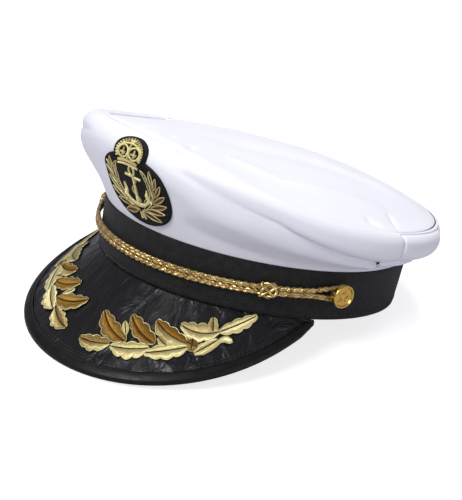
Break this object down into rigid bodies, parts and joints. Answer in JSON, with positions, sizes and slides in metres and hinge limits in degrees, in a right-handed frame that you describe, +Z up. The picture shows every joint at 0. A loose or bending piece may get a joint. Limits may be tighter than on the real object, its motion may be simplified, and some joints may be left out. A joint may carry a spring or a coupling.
{
  "type": "military peaked cap",
  "caption": "Peaked officer-style cap with a soft white crown, dark band and visor, gold leaf sprays, an embroidered badge and a braided chin cord on side buttons.",
  "frame": {"origin": "middle of the head opening, level with the lower edge of the band", "axes": "+Z up through the crown, -Y to the front where the visor is, +X to the wearer's left"},
  "size_m": [0.217, 0.2636, 0.1389],
  "materials": {
    "crown_cloth": "satin",
    "lining_cloth": "matt",
    "band_cloth": "ribbed matt",
    "stay_board": "matt",
    "sweatband": "satin",
    "tape": "matt",
    "visor_cloth": "satin",
    "visor_board": "moulded",
    "binding": "gloss",
    "gold_thread": "metallic thread",
    "dark_gold_thread": "metallic thread",
    "badge_felt": "matt",
    "gold_cord": "braided metallic",
    "brass": "polished"
  },
  "bodies": {
    "cap": {"hat_band": "band_cloth", "band_stiffener": "stay_board", "sweatband": "sweatband", "sweatband_back_tape": "tape", "crown_front_panel": "crown_cloth", "crown_back_panel": "crown_cloth", "crown_top_panel": "crown_cloth", "front_stay": "stay_board", "front_lining": "lining_cloth", "back_lining": "lining_cloth", "top_lining": "lining_cloth", "visor_top_cover": "visor_cloth", "visor_under_cover": "visor_cloth", "visor_board": "visor_board", "visor_flange": "visor_board", "visor_binding": "binding", "badge_backing": "badge_felt", "badge_border": "badge_felt", "badge_wreath": "gold_thread", "badge_anchor": "gold_thread", "badge_crown": "gold_thread", "left_oak_leaves": "gold_thread", "left_acorn": "dark_gold_thread", "left_leaf_stem": "gold_thread", "left_button_eyelet": "brass", "right_oak_leaves": "gold_thread", "right_acorn": "dark_gold_thread", "right_leaf_stem": "gold_thread", "right_button_eyelet": "brass"},
    "chin_cord": {"chin_cord_upper": "gold_cord", "chin_cord_lower": "gold_cord"},
    "left_knot": {"left_slide_knot": "gold_cord"},
    "right_knot": {"right_slide_knot": "gold_cord"},
    "left_button": {"left_button_shell": "brass", "left_button_back": "brass", "left_button_shank": "brass", "left_button_pin": "brass", "left_button_washer": "brass"},
    "right_button": {"right_button_shell": "brass", "right_button_back": "brass", "right_button_shank": "brass", "right_button_pin": "brass", "right_button_washer": "brass"}
  },
  "joints": [
    {"name": "chin_cord_swing", "type": "hinge", "parent": "cap", "child": "chin_cord", "pos_m": [0, -0.02039, 0.01896], "axis": [1, 0, 0], "range_deg": [-4.5, 5.5]},
    {"name": "left_knot_slide", "type": "hinge", "parent": "chin_cord", "child": "left_knot", "pos_m": [-0.02798, -0.00004, 0.0201], "axis": [0, -0.0563, 0.9984], "range_deg": [-7, 7]},
    {"name": "right_knot_slide", "type": "hinge", "parent": "chin_cord", "child": "right_knot", "pos_m": [0.02798, -0.00004, 0.0201], "axis": [0, 0.0563, -0.9984], "range_deg": [-7, 7]},
    {"name": "left_button_turn", "type": "hinge", "parent": "cap", "child": "left_button", "pos_m": [0.08667, -0.01962, 0.019], "axis": [0.9826, -0.1856, 0], "continuous": true},
    {"name": "right_button_turn", "type": "hinge", "parent": "cap", "child": "right_button", "pos_m": [-0.08667, -0.01962, 0.019], "axis": [-0.9826, -0.1856, 0], "continuous": true}
  ]
}
